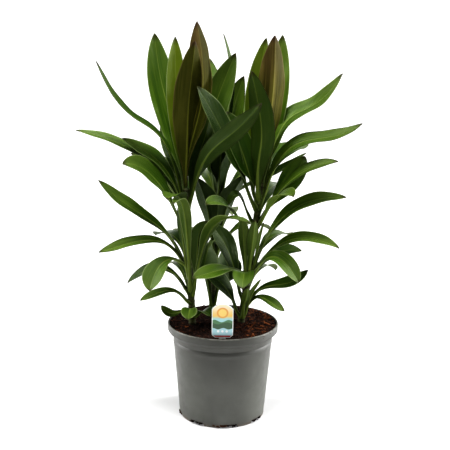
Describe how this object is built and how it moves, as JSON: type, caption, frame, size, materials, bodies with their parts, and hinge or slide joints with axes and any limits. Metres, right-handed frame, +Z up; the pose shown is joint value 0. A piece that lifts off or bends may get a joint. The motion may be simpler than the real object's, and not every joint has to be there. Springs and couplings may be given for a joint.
{
  "type": "potted ti plant",
  "caption": "Upright ti plant with bare jointed canes, long arching lance-shaped leaves and bronze young leaves, growing in soil in a tapered nursery pot with a tag.",
  "frame": {"origin": "middle of the flat underside of the pot, on the surface that the pot stands on", "axes": "+Z up along the pot's axis, -Y towards the front with the plant tag, +X to the right seen from the front"},
  "size_m": [0.476, 0.3505, 0.6702],
  "materials": {
    "pot": "satin grey moulded plastic",
    "soil": "rough dark potting soil with bark and coir",
    "tag": "printed plastic card",
    "leaf": "leathery green leaf, satin above and duller below",
    "young_leaf": "satin bronze young leaf"
  },
  "bodies": {
    "root": {"pot": "pot", "soil": "soil", "plant_tag": "tag", "leafy_stem_left": "leaf", "leafy_stem_right": "leaf", "leafy_stem_back": "leaf", "young_leaves_left": "young_leaf", "young_leaves_right": "young_leaf"}
  },
  "joints": []
}
